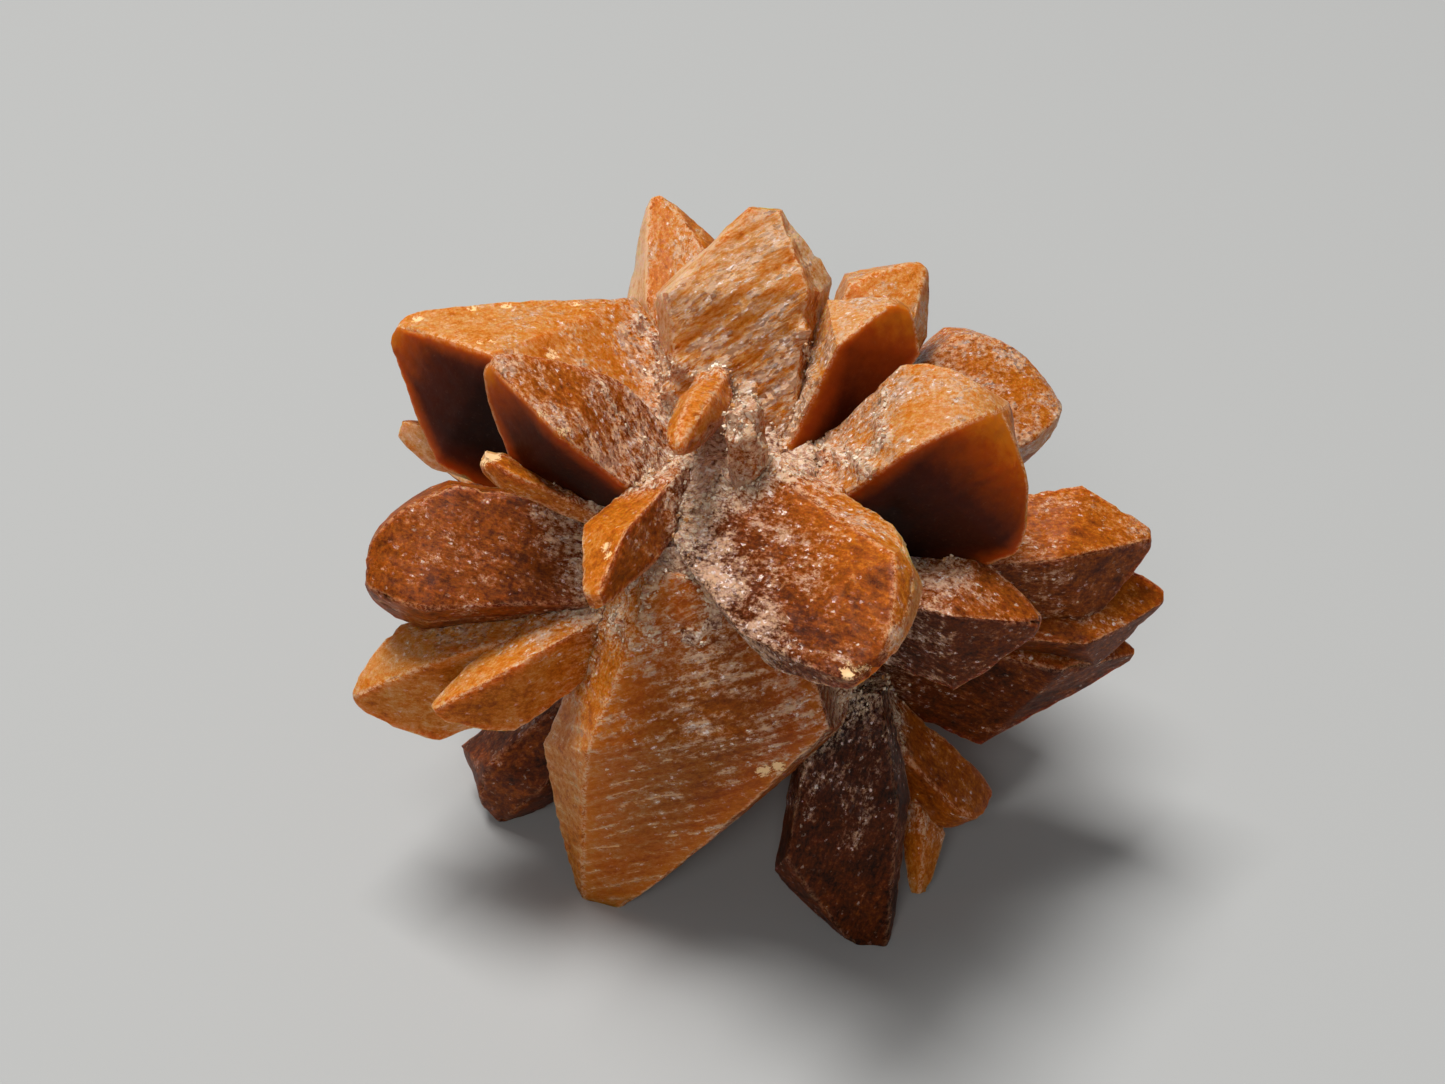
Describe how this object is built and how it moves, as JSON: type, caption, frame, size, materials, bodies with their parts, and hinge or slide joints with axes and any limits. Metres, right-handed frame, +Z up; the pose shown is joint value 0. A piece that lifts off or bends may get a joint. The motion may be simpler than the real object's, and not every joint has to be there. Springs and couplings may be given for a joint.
{
  "type": "glendonite crystal cluster",
  "caption": "Ball-shaped cluster of stubby, spear-tipped calcite crystals that radiate from one heart and are grown together; it stands on the worn tips of its lower crystals.",
  "frame": {"origin": "centre of the bounding box in X and Y, at the height of the flat worn feet on which the cluster stands", "axes": "+X along the cluster's greatest width, +Y towards its back, +Z up"},
  "size_m": [0.0422, 0.0368, 0.0356],
  "materials": {
    "calcite": "waxy, slightly translucent"
  },
  "bodies": {
    "root": {"glendonite": "calcite"}
  },
  "joints": []
}
